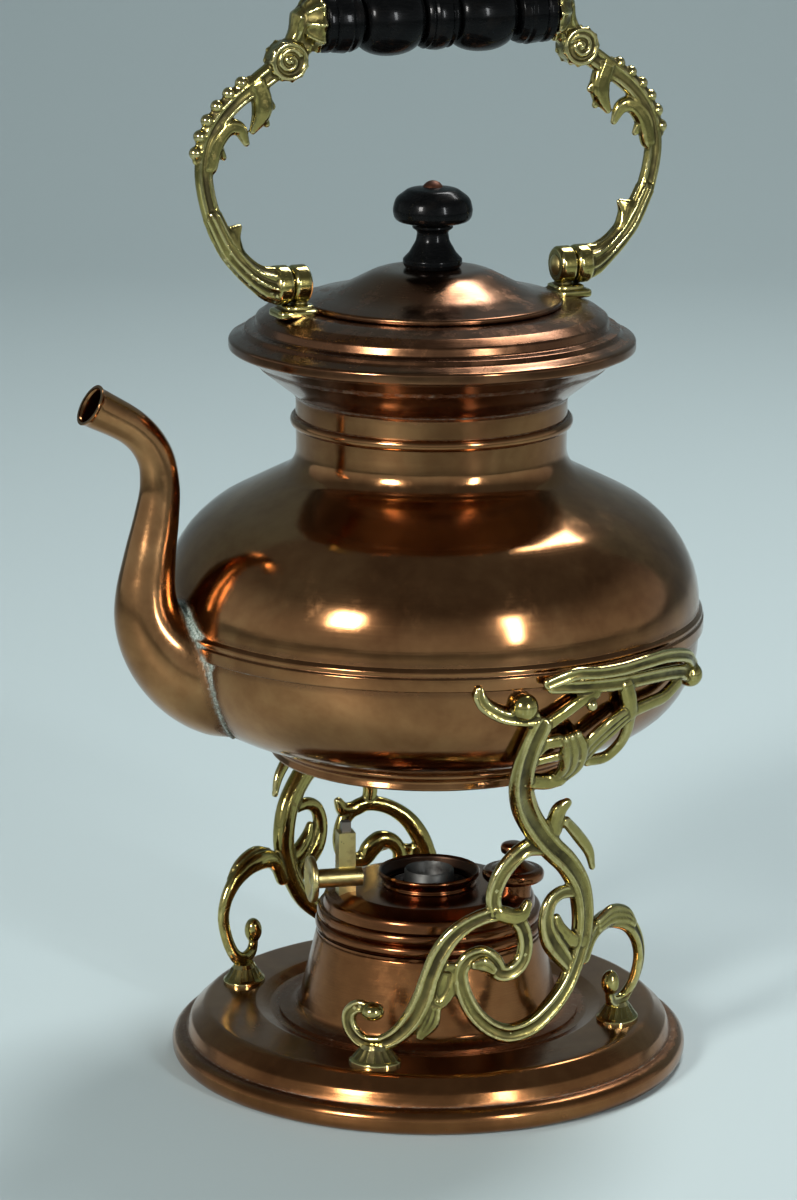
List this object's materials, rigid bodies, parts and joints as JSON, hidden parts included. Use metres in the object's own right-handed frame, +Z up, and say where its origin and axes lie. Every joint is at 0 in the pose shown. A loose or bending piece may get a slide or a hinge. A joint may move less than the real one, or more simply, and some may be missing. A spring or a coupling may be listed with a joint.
{
  "type": "spirit kettle on stand",
  "caption": "Lidded copper kettle with a swan-neck spout and swinging bail, resting on brass scroll brackets over a spirit burner.",
  "frame": {"origin": "centre of the flat ring on the underside of the base dish", "axes": "+Z up, -X towards the spout, the bail's hinge line along X, the scroll brackets to -Y and +Y"},
  "size_m": [0.2076, 0.1908, 0.3548],
  "materials": {
    "copper": "aged and polished, brown to bronze with dull seams",
    "burner_copper": "aged and polished, darker in the grooves",
    "brass_casting": "cast, polished on the high parts and dark in the hollows",
    "brass_turned": "turned and aged",
    "iron_pin": "dark and dull",
    "blackened_wood": "turned, blackened and polished",
    "stud_copper": "dull reddish copper",
    "wick_cotton": "woven and charred",
    "steel_screw": "plain"
  },
  "bodies": {
    "stand": {"base_plate": "copper", "burner_well": "copper", "bracket_front": "brass_casting", "bracket_back": "brass_casting", "bracket_feet": "brass_casting", "foot_screws": "steel_screw"},
    "burner": {"burner_font": "burner_copper", "burner_cover": "burner_copper", "burner_collar": "burner_copper", "draught_tube": "burner_copper", "raiser_guide": "brass_turned", "spindle_bush": "brass_turned", "filler_neck": "burner_copper"},
    "wick_wheel": {"pinion_spindle": "iron_pin", "thumb_wheel": "brass_turned"},
    "wick_raiser": {"wick_rack": "iron_pin", "wick_carrier": "brass_turned", "wick": "wick_cotton"},
    "filler_stopper": {"filler_cap": "burner_copper", "filler_knob": "burner_copper"},
    "kettle": {"kettle_lower_body": "copper", "kettle_upper_body": "copper", "bead_ring": "copper", "kettle_foot_ring": "copper", "neck_ring": "copper", "rim_collar": "copper", "spout": "copper", "lug_left": "brass_casting", "lug_right": "brass_casting"},
    "lid": {"lid_shell": "copper", "lid_sleeve": "copper", "lid_knob": "blackened_wood", "knob_stud": "stud_copper", "knob_nut": "brass_turned"},
    "bail": {"handle_arm_left": "brass_casting", "handle_arm_right": "brass_casting", "handle_grip": "blackened_wood", "grip_rod": "iron_pin", "hinge_pin_left": "brass_turned", "hinge_pin_right": "brass_turned"}
  },
  "joints": [
    {"name": "kettle_lift", "type": "slide", "parent": "stand", "child": "kettle", "axis": [0, 0, 1], "range_m": [0, 0.06]},
    {"name": "lid_lift", "type": "slide", "parent": "kettle", "child": "lid", "axis": [0, 0, 1], "range_m": [0, 0.035]},
    {"name": "bail_swing", "type": "hinge", "parent": "kettle", "child": "bail", "pos_m": [0, 0, 0.2608], "axis": [1, 0, 0], "range_deg": [-133, 133]},
    {"name": "burner_lift", "type": "slide", "parent": "stand", "child": "burner", "axis": [0, 0, 1], "range_m": [0, 0.012]},
    {"name": "wick_turn", "type": "hinge", "parent": "burner", "child": "wick_wheel", "pos_m": [-0.0284, 0.00207, 0.0623], "axis": [0.9833, -0.1822, 0], "range_deg": [0, 172]},
    {"name": "wick_raise", "type": "slide", "parent": "burner", "child": "wick_raiser", "axis": [0, 0, 1], "range_m": [0, 0.006]},
    {"name": "filler_lift", "type": "slide", "parent": "burner", "child": "filler_stopper", "axis": [0, 0, 1], "range_m": [0, 0.012]}
  ],
  "couplings": [
    {"joint": "wick_turn", "follows": "wick_raise", "rad_per_m": 500}
  ]
}
